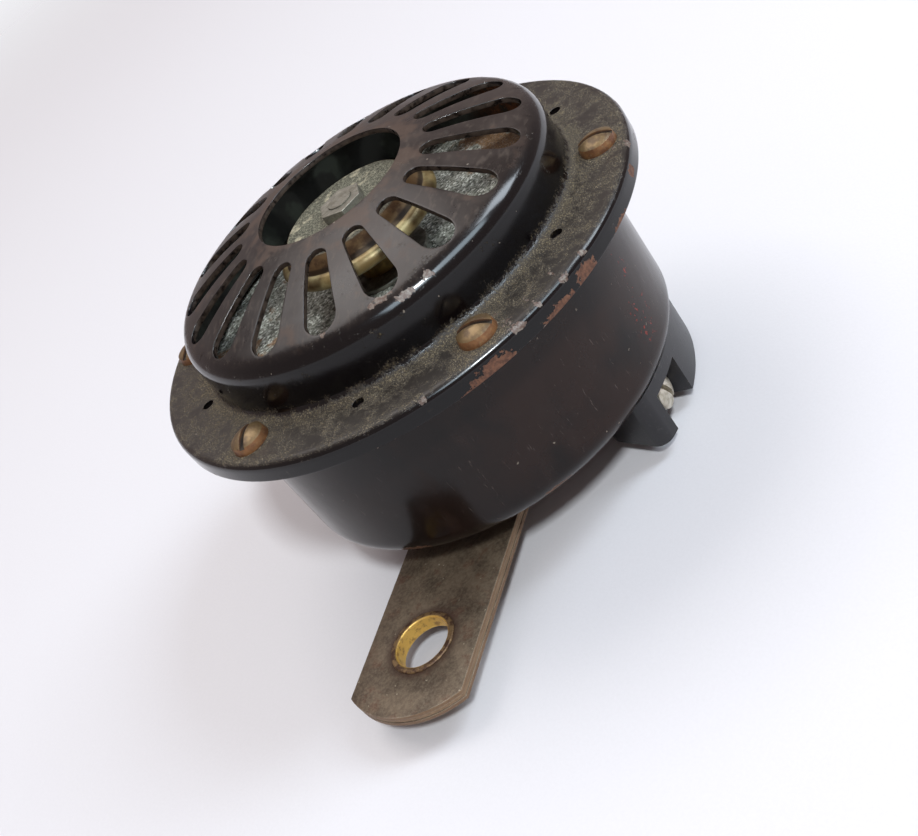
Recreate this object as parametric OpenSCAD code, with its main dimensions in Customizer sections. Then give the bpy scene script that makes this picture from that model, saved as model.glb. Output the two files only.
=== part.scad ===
// Electric diaphragm horn with a slotted front grille and a laminated spring bracket.
// Row origin: centre of the bracket hole on the strap's rear face. +Z is the horn's axis,
// towards the grille, and the strap runs along Y. Modules inside horn() use heights
// measured from the top face of the grille's flange, so parts behind it have negative heights.

/* [Grille] */
// Outside diameter of the flange
flange_d = 100; // [99:0.5:102]
// Diameter of the dome's upright wall
dome_d = 77.4; // [76:0.2:78]
// Height of the crown above the flange, where its arc would meet the axis
crown_h = 18.45; // [17.5:0.05:20]
// Radius of the crown's arc
crown_r = 93; // [88:0.5:98]
// Radius of the edge between crown and dome wall
shoulder_r = 4; // [3.4:0.1:4.6]
// Diameter of the centre opening
opening_d = 30.4; // [28:0.2:32]
// Depth of the turned-down skirt
skirt_h = 3.8; // [3.6:0.1:5]
// Thickness of the pressed sheet
sheet = 1; // [0.8:0.1:1.1]
// Number of radial slots
slot_count = 18; // [12:1:20]
// Radius to the slots' inner ends
slot_r_in = 19.4; // [18.5:0.1:21]
// Radius to the slots' outer ends
slot_r_out = 36.2; // [34:0.1:36.4]
// Slot width at the inner end
slot_w_in = 4.2; // [3.4:0.1:4.4]
// Slot width at the outer end
slot_w_out = 6.2; // [5:0.1:7]

/* [Cover screws] */
// Number of cover screws, and of drain holes midway between them
screw_count = 6; // [4:1:8]
// Radius of the circle of screws
screw_circle_r = 44.4; // [44.2:0.1:44.8]
// Angle of the first screw about the horn's axis
screw_angle = -104.2; // [-110:0.2:-100]
// Diameter of the screws' round heads
screw_head_d = 7; // [6.6:0.1:7.2]
// Height of the screws' round heads
screw_head_h = 2.4; // [2:0.1:2.6]
// Thread diameter of the cover, adjusting and terminal screws
thread_d = 4; // [4:0.1:4]
// Diameter of the drain holes
drain_d = 2.2; // [2:0.1:2.6]

/* [Case] */
// Outside diameter of the case
case_d = 82; // [81.6:0.1:82.2]
// Height from the flange's top face to the case's back
case_h = 37.5; // [37.5:0.1:37.5]
// Outside radius between case wall and back
case_corner_r = 5; // [4.8:0.1:5.2]
// Thickness of the case wall
case_wall = 1.2; // [1:0.1:1.2]
// Thickness of the case's floor
case_floor = 1.1; // [1.1:0.1:1.1]

/* [Bracket] */
// Distance from the bracket hole to the horn's axis
hole_to_axis = 55; // [52:0.5:65]
// Width of the strap
strap_w = 24; // [22:0.5:26]
// Thickness of each of the three spring leaves
leaf_t = 0.833; // [0.833:0.001:0.833]
// Overhang of the strap beyond the hole, on the middle line
strap_tip = 15.1; // [13:0.1:16]
// Radius of the strap's curved tip
strap_tip_r = 18; // [17:0.5:24]
// Bore of the brass eyelet
eyelet_d = 10.5; // [10.2:0.1:10.6]

/* [Tone disc] */
// Radius of the tone disc's flat plate
plate_r = 12.8; // [12:0.1:13]
// Height of the plate's top above the flange
plate_z = 12; // [11.5:0.1:12.5]
// Radius to the middle of the rolled bead
bead_circle_r = 15; // [14.8:0.1:15.4]
// Radius of the rolled bead
bead_r = 1.45; // [1.2:0.05:1.6]

/* [Movement] */
// Clear gap between armature and magnet at rest
air_gap = 0.8; // [0.7:0.05:0.9]

/* [Hidden] */
$fn = 96;
cut = 1;                                    // how far a cutter runs past the metal
run_gap = 0.05;                             // clearance between faces that turn past each other

// Grille profile
flange_r = flange_d / 2;
dome_r = dome_d / 2;
crown_cz = crown_h - crown_r;
shoulder_cr = dome_r - shoulder_r;
shoulder_cz = crown_cz + sqrt(pow(crown_r - shoulder_r, 2) - pow(shoulder_cr, 2));
base_fillet_r = 1.6;
flange_edge_r = 1.4;
drain_circle_r = dome_r + base_fillet_r + drain_d / 2 + 0.2;

// Clamped stack under the flange, from the flange's underside downwards
gasket_t = 0.5;
diaphragm_t = 0.4;
case_flange_t = 1.1;
diaphragm_top = -sheet - gasket_t;
diaphragm_bottom = diaphragm_top - diaphragm_t;
case_top = diaphragm_bottom - gasket_t;
stack_r = flange_r - sheet - 0.4;
gasket_r_in = dome_r + base_fillet_r + 0.2;
thread_r = thread_d / 2;
thread_clear_r = thread_r + 0.25;
thread_fit_r = thread_r + 0.03;             // bore that a screw turns in
cover_slot_turns = [25, 53, -4, 40, 105, 70];

// Case
case_r = case_d / 2;
back_z = -case_h;
floor_z = back_z + case_floor;

// Vibrating assembly
rod_r = 2.4;
rod_fit_r = rod_r + 0.02;
washer_t = 0.8;
armature_top = diaphragm_bottom - washer_t;
armature_t = 5.3;
armature_bottom = armature_top - armature_t;
armature_l = 41;
armature_w = 16;
disc_t = 0.8;
nut_h = 1.7;
ear_t = 2;

// Electromagnet
pole_z = armature_bottom - air_gap;
yoke_t = 3;
leg_t = 4;
core_r = 6;
stud_r = 4;
stud_clear_r = stud_r + 0.1;
stud_top = floor_z + 14;
bobbin_r = 13;
bobbin_top = pole_z - 1.4;
bobbin_bottom = floor_z + yoke_t + 0.1;
bobbin_flange_t = 1.2;

// Contact breaker: a row of parts along X at contact_y
contact_y = 24;
contact_w = 6;
hinge_x = 12.55;                            // where both blades leave the clamped stack
root_gap = 0.05;
root_end_x = 22.6;
stand_x = [hinge_x + 0.05, 21.5];
stack_x = [15, 19.2];
stack_y = [contact_y - contact_w / 2 - 1, contact_y + contact_w / 2 + 1];
arm_t = 0.8;
blade_t = 0.5;
arm_bottom = -15.4;
arm_top = arm_bottom + arm_t;
blade_top = arm_bottom - 2;
blade_bottom = blade_top - blade_t;
insulator_t = 1.1;
stand_top = blade_bottom - insulator_t;
contact_r = 2;
contact_x = -4;
contact_gap = 0.05;
pusher_x = -11;
pusher_r = 1.5;
adjuster_x = -18;
adjuster_washer_z = -39.8;
adjuster_head_h = 2;
bush_flange_t = 0.8;

// Terminal block: part of a ring on the +X side of the back, with the notch near one end
terminal_y = -4.4;
terminal_z = -43;
block_r = [25.5, 39.4];
block_angle = [-20.5, 46];
block_round_r = 2.6;
sheet_pad_t = 0.6;
block_top = back_z - sheet_pad_t;
block_bottom = -48;
lip_gap = 0.15;                             // between the block's outer lip and the case
lip_top = -36;
notch_w = 9.8;
notch_floor_x = 35;
notch_top = -39.4;
terminal_head_r = 3.4;
terminal_head_t = 2.4;
terminal_washer_t = 0.8;
insert_x = [29.4, 34.9];
insert_w = 6.6;
insert_h = 5.6;
tail_x = 32;
tail_r = 1.5;
tail_top = floor_z + 3.9;
rivet_r = 1.25;
rivet_places = [[28.5, -15.5], [32.5, 12], [32.5, 36]];   // radius and angle about the horn's axis
lead_r = 0.8;

// Capacitor
capacitor_y = -26;
capacitor_z = -27;
capacitor_r = 6.5;
capacitor_l = 24;
clip_w = 6;
clip_t = 0.7;
clip_foot_y = -15.4;

// Bracket, in row heights
strap_t = 3 * leaf_t;
stud_gap = 5.5;                             // from the case's back to the strap
flange_z = strap_t + stud_gap + case_h;
washer_h = 1;
jam_nut_h = 4;
strap_front = back_z - stud_gap;
strap_rear = strap_front - strap_t;

function mid(span) = (span[0] + span[1]) / 2;

module horn() translate([0, hole_to_axis, flange_z]) children();

module at(x, y, z) translate([x, y, z]) children();

module ring(r_out, r_in, h) {
    difference() {
        cylinder(r = r_out, h = h);
        translate([0, 0, -cut]) cylinder(r = r_in, h = h + 2 * cut);
    }
}

module box(x, y, z) {
    translate([x[0], y[0], z[0]]) cube([x[1] - x[0], y[1] - y[0], z[1] - z[0]]);
}

module around(count, radius, first) {
    for (i = [0 : count - 1]) rotate(first + i * 360 / count) translate([radius, 0, 0]) children();
}

module screw_holes(r, top, depth) {
    around(screw_count, screw_circle_r, screw_angle)
        at(0, 0, top - depth - cut) cylinder(r = r, h = depth + 2 * cut);
}

// A slotted head with a tapered side and a domed top; its flat side is at z = 0
module round_head(r, h, slot_turn = 0) {
    top_r = 0.92 * r;
    dome_h = 0.4 * h;
    cap_r = (top_r * top_r + dome_h * dome_h) / (2 * dome_h);
    difference() {
        intersection() {
            at(0, 0, h - cap_r) sphere(r = cap_r, $fn = 128);
            cylinder(r1 = r, r2 = 0.8 * r, h = 1.5 * h);
        }
        rotate(slot_turn) at(-r - cut, -0.5, h * 0.5) cube([2 * (r + cut), 1, h]);
    }
}

// Solid of revolution under the grille's outer face, set back by the given amount
module grille_section(back) {
    reach = crown_r * 1.2;
    lean = [shoulder_cr, shoulder_cz - crown_cz] / (crown_r - shoulder_r);
    intersection() {
        at(0, crown_cz, 0) circle(r = crown_r - back, $fn = 720);
        at(0, crown_cz, 0) polygon([[0, 0], [0, reach], lean * reach]);
    }
    at(shoulder_cr, shoulder_cz, 0) circle(r = shoulder_r - back);
    square([dome_r - back, shoulder_cz]);
    difference() {
        at(0, -back, 0) square([dome_r + base_fillet_r, base_fillet_r + back]);
        at(dome_r + base_fillet_r, base_fillet_r, 0) circle(r = base_fillet_r + back);
    }
    at(0, -skirt_h, 0) square([flange_r - back, skirt_h - flange_edge_r]);
    at(0, -skirt_h, 0) square([flange_r - flange_edge_r, skirt_h - back]);
    at(flange_r - flange_edge_r, -flange_edge_r, 0) circle(r = flange_edge_r - back);
}

// One tapered slot with round ends, along X
module slot_outline() {
    r1 = slot_w_in / 2;
    r2 = slot_w_out / 2;
    x1 = slot_r_in + r1;
    x2 = slot_r_out - r2;
    lean = asin((r2 - r1) / (x2 - x1));
    up = [-sin(lean), cos(lean)];
    down = [-sin(lean), -cos(lean)];
    at(x1, 0, 0) circle(r = r1);
    at(x2, 0, 0) circle(r = r2);
    polygon([[x1, 0] + r1 * up, [x2, 0] + r2 * up, [x2, 0] + r2 * down, [x1, 0] + r1 * down]);
}

module front_grille() color([0.11, 0.10, 0.09]) horn() difference() {
    rotate_extrude() difference() {
        intersection() {
            grille_section(0);
            at(0, -skirt_h, 0) square([flange_r, skirt_h + crown_h]);
        }
        grille_section(sheet);
        at(0, -skirt_h - cut, 0) square([flange_r - sheet, cut + skirt_h - flange_edge_r]);
    }
    cylinder(r = opening_d / 2, h = crown_h + cut);
    for (i = [0 : slot_count - 1]) {
        rotate(screw_angle + (i + 0.5) * 360 / slot_count)
            linear_extrude(height = crown_h + cut) slot_outline();
    }
    screw_holes(thread_clear_r, 0, sheet);
    around(screw_count, drain_circle_r, screw_angle + 180 / screw_count)
        at(0, 0, -sheet - 0.3) cylinder(r = drain_d / 2, h = sheet + 0.3 + cut);
}

module cover_screws() color([0.48, 0.34, 0.16]) horn() for (i = [0 : screw_count - 1]) {
    rotate(screw_angle + i * 360 / screw_count) at(screw_circle_r, 0, 0) {
        round_head(screw_head_d / 2, screw_head_h, cover_slot_turns[i % len(cover_slot_turns)]);
        at(0, 0, -5.2) cylinder(r = thread_r, h = 5.2 + screw_head_h * 0.3);
    }
}

module gasket(top) horn() difference() {
    at(0, 0, top - gasket_t) ring(stack_r, gasket_r_in, gasket_t);
    screw_holes(thread_clear_r, top, gasket_t);
}

module front_gasket() color([0.25, 0.17, 0.10]) gasket(-sheet);

module rear_gasket() color([0.25, 0.17, 0.10]) gasket(diaphragm_bottom);

module diaphragm() color([0.62, 0.63, 0.61]) horn() difference() {
    at(0, 0, diaphragm_bottom) ring(stack_r, rod_fit_r, diaphragm_t);
    screw_holes(thread_clear_r, diaphragm_top, diaphragm_t);
}

module diaphragm_washers() color([0.50, 0.48, 0.42]) horn() {
    at(0, 0, diaphragm_top) ring(9, rod_fit_r, washer_t);
    at(0, 0, armature_top) ring(9, rod_fit_r, washer_t);
}

module tone_disc_spacer() color([0.50, 0.45, 0.34]) horn()
    at(0, 0, diaphragm_top + washer_t)
        ring(5, rod_fit_r, plate_z - disc_t - diaphragm_top - washer_t);

// Flat plate, conical flank and a rolled bead around the rim
module tone_disc() color([0.66, 0.53, 0.28]) horn() rotate_extrude() {
    bead_z = plate_z - 4.1;
    at(rod_fit_r, plate_z - disc_t, 0) square([plate_r - rod_fit_r, disc_t]);
    polygon([[plate_r, plate_z], [plate_r - 0.6, plate_z - disc_t],
        [bead_circle_r - 1, bead_z + 0.9], [bead_circle_r, bead_z + 1.2],
        [bead_circle_r + 0.2, bead_z + bead_r]]);
    at(bead_circle_r, bead_z, 0) circle(r = bead_r);
}

module tone_disc_nut() color([0.47, 0.44, 0.36]) horn() at(0, 0, plate_z) difference() {
    cylinder(r = 4.62, h = nut_h, $fn = 6);
    at(0, 0, -cut) cylinder(r = rod_fit_r, h = nut_h + 2 * cut);
}

module centre_rod() color([0.55, 0.54, 0.50]) horn()
    at(0, 0, armature_bottom) cylinder(r = rod_r, h = plate_z + nut_h + 0.2 - armature_bottom);

// Bar over the magnet's poles, with a thin ear that carries the contact pusher
module armature() color([0.35, 0.34, 0.33]) horn() difference() {
    union() {
        box([-armature_l / 2, armature_l / 2], [-armature_w / 2, armature_w / 2],
            [armature_bottom, armature_top]);
        box([pusher_x - 3, pusher_x + 3], [armature_w / 2 - 1, contact_y + 3],
            [armature_top - ear_t, armature_top]);
    }
    at(0, 0, armature_bottom - cut) cylinder(r = rod_fit_r, h = armature_t + 2 * cut);
    at(pusher_x, contact_y, armature_top - ear_t - cut) cylinder(r = pusher_r, h = ear_t + 2 * cut);
}

module contact_pusher() color([0.42, 0.22, 0.10]) horn() at(pusher_x, contact_y, 0) {
    tip_z = blade_top + 0.02;
    at(0, 0, tip_z + pusher_r) cylinder(r = pusher_r, h = armature_top - tip_z - pusher_r);
    at(0, 0, tip_z + pusher_r) sphere(r = pusher_r);
}

// Round cup with a flange; its section is the outer shape less the same shape set in
module case_section(wall, base) {
    corner = case_corner_r - wall;
    at(0, base + corner, 0) square([case_r - wall, case_top - base - corner + cut]);
    at(0, base, 0) square([case_r - wall - corner, corner]);
    at(case_r - wall - corner, base + corner, 0) circle(r = corner);
}

module rear_case() color([0.08, 0.07, 0.06]) horn() {
    corner = [case_r + base_fillet_r, case_top - case_flange_t - base_fillet_r];
    difference() {
        rotate_extrude() difference() {
            union() {
                case_section(0, back_z);
                at(0, case_top - case_flange_t, 0) square([stack_r, case_flange_t]);
                difference() {
                    at(case_r - case_wall / 2, corner[1], 0)
                        square([base_fillet_r + case_wall / 2, base_fillet_r + 0.1]);
                    at(corner[0], corner[1], 0) circle(r = base_fillet_r);
                }
            }
            case_section(case_wall, floor_z);
            at(0, case_top, 0) square([flange_r, 2 * cut]);
        }
        screw_holes(thread_fit_r, case_top, case_flange_t);
        at(0, 0, back_z - cut) cylinder(r = stud_clear_r, h = case_floor + 2 * cut);
        at(adjuster_x, contact_y, back_z - cut) cylinder(r = 4.52, h = case_floor + 2 * cut);
        at(mid(stand_x), contact_y, back_z - cut) cylinder(r = thread_clear_r, h = case_floor + 2 * cut);
        at(tail_x, terminal_y, back_z - cut) cylinder(r = 3, h = case_floor + 2 * cut);
        at(0, clip_foot_y, back_z - cut) cylinder(r = rivet_r + 0.02, h = case_floor + 2 * cut);
        at_rivets(back_z - cut) cylinder(r = rivet_r + 0.02, h = case_floor + 2 * cut);
    }
}

module magnet_yoke() color([0.40, 0.40, 0.40]) horn() difference() {
    union() {
        box([-armature_l / 2, armature_l / 2], [-armature_w / 2, armature_w / 2],
            [floor_z, floor_z + yoke_t]);
        for (x = [-armature_l / 2, armature_l / 2 - leg_t])
            box([x, x + leg_t], [-armature_w / 2, armature_w / 2], [floor_z, pole_z]);
    }
    at(0, 0, floor_z - cut) cylinder(r = stud_clear_r, h = yoke_t + 2 * cut);
}

module magnet_core() color([0.45, 0.45, 0.46]) horn() difference() {
    at(0, 0, floor_z + yoke_t) cylinder(r = core_r, h = pole_z - floor_z - yoke_t);
    at(0, 0, floor_z) cylinder(r = stud_r + 0.02, h = stud_top - floor_z + 1);
}

module coil_bobbin() color([0.30, 0.18, 0.10]) horn() {
    at(0, 0, bobbin_bottom) ring(core_r + 1, core_r + 0.1, bobbin_top - bobbin_bottom);
    at(0, 0, bobbin_bottom) ring(bobbin_r, core_r + 0.5, bobbin_flange_t);
    at(0, 0, bobbin_top - bobbin_flange_t) ring(bobbin_r, core_r + 0.5, bobbin_flange_t);
}

module coil_winding() color([0.55, 0.27, 0.12]) horn() {
    low = bobbin_bottom + bobbin_flange_t + 0.05;
    at(0, 0, low) ring(bobbin_r - 0.6, core_r + 1.05, bobbin_top - bobbin_flange_t - 0.05 - low);
}

module contact_stand() color([0.45, 0.44, 0.42]) horn() difference() {
    box(stand_x, stack_y, [floor_z, stand_top]);
    for (x = stack_x) at(x, contact_y, stand_top - 6) cylinder(r = 1.27, h = 6 + cut);
    at(mid(stand_x), contact_y, floor_z - cut) cylinder(r = thread_fit_r, h = 8 + cut);
}

module stand_screw() color([0.45, 0.36, 0.22]) horn() at(mid(stand_x), contact_y, back_z) {
    mirror([0, 0, 1]) round_head(screw_head_d / 2, screw_head_h, 20);
    at(0, 0, -0.5) cylinder(r = thread_r, h = 7.5);
}

// Fibre packings between the clamped blades
module stack_insulators() color([0.36, 0.16, 0.09]) horn() difference() {
    union() {
        box(stand_x, stack_y, [stand_top, blade_bottom]);
        box(stand_x, stack_y, [blade_top, arm_bottom]);
        box(stand_x, stack_y, [arm_top, arm_top + insulator_t]);
    }
    for (x = stack_x) at(x, contact_y, stand_top - cut) cylinder(r = 1.3, h = 10);
}

module stack_screws() color([0.60, 0.58, 0.54]) horn() for (x = stack_x) {
    at(x, contact_y, arm_top + insulator_t) round_head(1.95, 1.2, 15 * x);
    at(x, contact_y, stand_top - 5) cylinder(r = 1.25, h = arm_top + insulator_t - stand_top + 5.3);
}

// Clamped ends of the two spring blades
module blade_roots() color([0.72, 0.60, 0.30]) horn() difference() {
    y = [contact_y - contact_w / 2, contact_y + contact_w / 2];
    union() {
        box([hinge_x + root_gap, root_end_x], y, [blade_bottom, blade_top]);
        box([hinge_x + root_gap, root_end_x], y, [arm_bottom, arm_top]);
    }
    for (x = stack_x) at(x, contact_y, blade_bottom - cut) cylinder(r = 2, h = 6);
}

module fixed_contact_arm() color([0.72, 0.60, 0.30]) horn() difference() {
    box([adjuster_x - 3, hinge_x - root_gap], [contact_y - contact_w / 2, contact_y + contact_w / 2],
        [arm_bottom, arm_top]);
    at(pusher_x, contact_y, arm_bottom - cut) cylinder(r = pusher_r + 0.7, h = arm_t + 2 * cut);
}

module fixed_contact() color([0.70, 0.70, 0.72]) horn() at(contact_x, contact_y, 0)
    at(0, 0, arm_bottom - 0.95) cylinder(r = contact_r, h = 0.95);

module moving_contact_blade() color([0.75, 0.63, 0.33]) horn()
    box([pusher_x - 3, hinge_x - root_gap], [contact_y - contact_w / 2, contact_y + contact_w / 2],
        [blade_bottom, blade_top]);

module moving_contact() color([0.70, 0.70, 0.72]) horn() at(contact_x, contact_y, blade_top)
    cylinder(r = contact_r, h = arm_bottom - blade_top - 0.95 - contact_gap);

// Screw from the back whose round tip bears on the fixed contact arm
module adjusting_screw() color([0.66, 0.54, 0.28]) horn() at(adjuster_x, contact_y, 0) {
    tip_z = arm_bottom - contact_gap - thread_r;
    at(0, 0, adjuster_washer_z) mirror([0, 0, 1]) round_head(3.4, adjuster_head_h, 60);
    at(0, 0, adjuster_washer_z - 0.5) cylinder(r = thread_r, h = tip_z - adjuster_washer_z + 0.5);
    at(0, 0, tip_z) sphere(r = thread_r);
}

module adjuster_washer() color([0.60, 0.58, 0.52]) horn()
    at(adjuster_x, contact_y, adjuster_washer_z) ring(4.4, thread_fit_r, 0.6);

module adjuster_bush() color([0.68, 0.56, 0.30]) horn() at(adjuster_x, contact_y, 0) {
    at(0, 0, back_z - bush_flange_t) ring(6, thread_fit_r, bush_flange_t);
    at(0, 0, back_z - bush_flange_t / 2) ring(4.5, thread_fit_r, 7);
}

module spark_capacitor() color([0.62, 0.60, 0.56]) horn()
    at(-capacitor_l / 2, capacitor_y, capacitor_z) rotate([0, 90, 0])
        cylinder(r = capacitor_r, h = capacitor_l);

// Spring band around the capacitor with a foot riveted to the floor
module capacitor_clip() color([0.55, 0.54, 0.50]) horn() difference() {
    union() {
        at(-clip_w / 2, capacitor_y, capacitor_z) rotate([0, 90, 0])
            cylinder(r = capacitor_r + clip_t, h = clip_w);
        box([-clip_w / 2, clip_w / 2], [capacitor_y, clip_foot_y + 2.4], [floor_z, floor_z + clip_t]);
        box([-clip_w / 2, clip_w / 2], [capacitor_y - 0.5, capacitor_y + 0.5], [floor_z, capacitor_z]);
    }
    at(-clip_w, capacitor_y, capacitor_z) rotate([0, 90, 0])
        cylinder(r = capacitor_r + 0.02, h = 2 * clip_w);
    at(0, clip_foot_y, floor_z - cut) cylinder(r = rivet_r + 0.02, h = clip_t + 2 * cut);
}

module clip_rivet() color([0.50, 0.48, 0.44]) horn() at(0, clip_foot_y, 0) {
    at(0, 0, back_z - 0.8) cylinder(r = 2.2, h = 0.8);
    at(0, 0, back_z - 0.4) cylinder(r = rivet_r, h = case_floor + clip_t + 0.8);
    at(0, 0, floor_z + clip_t) cylinder(r = 2, h = 0.8);
}

module at_rivets(z) {
    for (place = rivet_places) rotate(place[1]) at(place[0], 0, z) children();
}

// Part of a flat ring between two radii and two angles
module sector(radii, angles) {
    function on_circle(a) = 2 * radii[1] * [cos(a), sin(a)];
    intersection() {
        difference() {
            circle(r = radii[1], $fn = 240);
            circle(r = radii[0], $fn = 240);
        }
        polygon([[0, 0], on_circle(angles[0]), on_circle(mid(angles)), on_circle(angles[1])]);
    }
}

// What rounding takes off a sector's corner at angle a and radius r. Side is 1 at the last
// angle and -1 at the first; inward is 1 on the inner radius and -1 on the outer.
module corner_waste(a, side, r, inward) {
    along = [cos(a), sin(a)];
    out = side * [-sin(a), cos(a)];
    tangent = sqrt(pow(r + inward * block_round_r, 2) - pow(block_round_r, 2));
    centre = tangent * along - block_round_r * out;
    difference() {
        polygon([centre, tangent * along + out, (r - inward) * along + out,
            (r - inward) * centre / norm(centre)]);
        translate(centre) circle(r = block_round_r);
    }
}

// Moulded block: its outer face follows the case, and a lip reaches up around the case's corner
module terminal_block() color([0.07, 0.07, 0.075]) horn() difference() {
    at(0, 0, block_bottom) linear_extrude(height = lip_top - block_bottom) difference() {
        sector(block_r, block_angle);
        for (end = [0, 1]) {
            corner_waste(block_angle[end], 2 * end - 1, block_r[1], -1);
            corner_waste(block_angle[end], 2 * end - 1, block_r[0], 1);
        }
    }
    rotate_extrude() {
        at(0, block_top, 0) square([case_r - case_corner_r, 5]);
        at(case_r - case_corner_r, back_z + case_corner_r, 0) circle(r = case_corner_r + lip_gap);
    }
    box([notch_floor_x, block_r[1] + cut], [terminal_y - notch_w / 2, terminal_y + notch_w / 2],
        [block_bottom - cut, notch_top]);
    terminal_cavity(0.05);
    at_rivets(block_bottom - cut) cylinder(r = rivet_r + 0.02, h = 12);
}

// Space for the brass insert, its tail and the tip of the terminal screw
module terminal_cavity(gap) {
    box([insert_x[0] - gap, notch_floor_x + cut],
        [terminal_y - insert_w / 2 - gap, terminal_y + insert_w / 2 + gap],
        [terminal_z - insert_h / 2 - gap, terminal_z + insert_h / 2 + gap]);
    at(tail_x, terminal_y, terminal_z) cylinder(r = tail_r + gap, h = block_top - terminal_z + cut);
}

module terminal_sheet() color([0.16, 0.12, 0.09]) horn() difference() {
    at(0, 0, block_top) linear_extrude(height = sheet_pad_t)
        sector([block_r[0] + 1, case_r - case_corner_r - 0.4], block_angle + [2, -2]);
    at(tail_x, terminal_y, block_top - cut) cylinder(r = 3, h = sheet_pad_t + 2 * cut);
    at_rivets(block_top - cut) cylinder(r = rivet_r + 0.02, h = sheet_pad_t + 2 * cut);
}

module terminal_insert() color([0.66, 0.54, 0.28]) horn() difference() {
    union() {
        box(insert_x, [terminal_y - insert_w / 2, terminal_y + insert_w / 2],
            [terminal_z - insert_h / 2, terminal_z + insert_h / 2]);
        at(tail_x, terminal_y, terminal_z) cylinder(r = tail_r, h = tail_top - terminal_z);
    }
    at(insert_x[0] - cut, terminal_y, terminal_z) rotate([0, 90, 0])
        cylinder(r = thread_fit_r, h = insert_x[1] - insert_x[0] + 2 * cut);
}

module terminal_bush() color([0.36, 0.16, 0.09]) horn() at(tail_x, terminal_y, 0) {
    at(0, 0, block_top + 0.02) ring(2.97, tail_r + 0.03, floor_z - block_top);
    at(0, 0, floor_z) ring(3.3, tail_r + 0.03, 1);
}

module terminal_screw() color([0.74, 0.73, 0.70]) horn()
    at(notch_floor_x + terminal_washer_t, terminal_y, terminal_z) rotate([0, 90, 0]) {
        round_head(terminal_head_r, terminal_head_t, 21);
        at(0, 0, -5.9) cylinder(r = thread_r, h = 6.3);
    }

module terminal_washer() color([0.66, 0.65, 0.60]) horn() difference() {
    box([notch_floor_x, notch_floor_x + terminal_washer_t], [terminal_y - 3.9, terminal_y + 3.9],
        [terminal_z - 3.4, terminal_z + 3.4]);
    at(notch_floor_x - cut, terminal_y, terminal_z) rotate([0, 90, 0])
        cylinder(r = thread_fit_r, h = terminal_washer_t + 2 * cut);
}

module block_rivets() color([0.50, 0.48, 0.44]) horn() at_rivets(0) {
    at(0, 0, block_bottom - 0.7) cylinder(r = 1.7, h = 0.7);
    at(0, 0, block_bottom - 0.4) cylinder(r = rivet_r, h = floor_z - block_bottom + 0.8);
    at(0, 0, floor_z) cylinder(r = 1.9, h = 0.7);
}

// Wire along a cubic curve with the given four control points
module lead(p) {
    steps = 10;
    function place(t) = pow(1 - t, 3) * p[0] + 3 * t * pow(1 - t, 2) * p[1]
        + 3 * t * t * (1 - t) * p[2] + pow(t, 3) * p[3];
    for (i = [0 : steps - 1]) hull() {
        translate(place(i / steps)) sphere(r = lead_r, $fn = 12);
        translate(place((i + 1) / steps)) sphere(r = lead_r, $fn = 12);
    }
}

module terminal_lead() color([0.55, 0.12, 0.08]) horn()
    lead([[tail_x, terminal_y, tail_top + lead_r], [tail_x, terminal_y, tail_top + 6],
        [20, -15, tail_top + 6], [8.5, -10.8, tail_top + 3.5]]);

module coil_lead() color([0.10, 0.10, 0.10]) horn()
    lead([[9.9, 9.9, -25], [14, 14, -25], [25, 12, -18],
        [root_end_x + 0.9, contact_y, mid([blade_bottom, blade_top])]]);

module capacitor_lead() color([0.10, 0.10, 0.10]) horn()
    lead([[capacitor_l / 2 + 0.9, capacitor_y, capacitor_z], [38, -24, -25], [32, 14, -18],
        [root_end_x + 0.9, contact_y - 1, mid([arm_bottom, arm_top])]]);

// Stud screwed into the magnet's core; it clamps yoke, case, spacer and strap
module mounting_stud() color([0.45, 0.43, 0.40]) horn() {
    end_z = strap_rear - run_gap - washer_h - jam_nut_h - 0.3;
    at(0, 0, end_z) cylinder(r = stud_r, h = stud_top - end_z);
}

module stud_spacer() color([0.38, 0.34, 0.29]) horn()
    at(0, 0, strap_front + run_gap) ring(9, stud_r + 0.02, stud_gap - run_gap);

module stud_washer() color([0.47, 0.43, 0.37]) horn()
    at(0, 0, strap_rear - run_gap - washer_h) ring(8, stud_r + 0.02, washer_h);

module stud_nut() color([0.45, 0.41, 0.35]) horn()
    at(0, 0, strap_rear - run_gap - washer_h - jam_nut_h) difference() {
        cylinder(r = 7.5, h = jam_nut_h, $fn = 6);
        at(0, 0, -cut) cylinder(r = stud_r + 0.02, h = jam_nut_h + 2 * cut);
    }

// One spring leaf: round around the stud, a shallow arc across the tip
module leaf(level) {
    half = strap_w / 2;
    at(0, 0, level * leaf_t) linear_extrude(height = leaf_t) difference() {
        union() {
            intersection() {
                at(-half, -strap_tip, 0) square([strap_w, strap_tip + hole_to_axis]);
                union() {
                    at(0, strap_tip_r - strap_tip, 0) circle(r = strap_tip_r, $fn = 180);
                    at(-half, strap_tip_r - strap_tip, 0) square([strap_w, hole_to_axis]);
                }
            }
            at(0, hole_to_axis, 0) circle(r = half);
        }
        circle(r = eyelet_d / 2 + 0.65);
        at(0, hole_to_axis, 0) circle(r = stud_clear_r);
    }
}

module bracket_leaf_front() color([0.40, 0.34, 0.27]) leaf(2);

module bracket_leaf_middle() color([0.44, 0.37, 0.29]) leaf(1);

module bracket_leaf_rear() color([0.38, 0.32, 0.26]) leaf(0);

module bracket_eyelet() color([0.72, 0.58, 0.22]) {
    lip_t = 0.35;
    at(0, 0, -lip_t) ring(eyelet_d / 2 + 0.6, eyelet_d / 2, strap_t + 2 * lip_t);
    at(0, 0, -lip_t) ring(eyelet_d / 2 + 1.25, eyelet_d / 2, lip_t);
    at(0, 0, strap_t) ring(eyelet_d / 2 + 1.25, eyelet_d / 2, lip_t);
}

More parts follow.
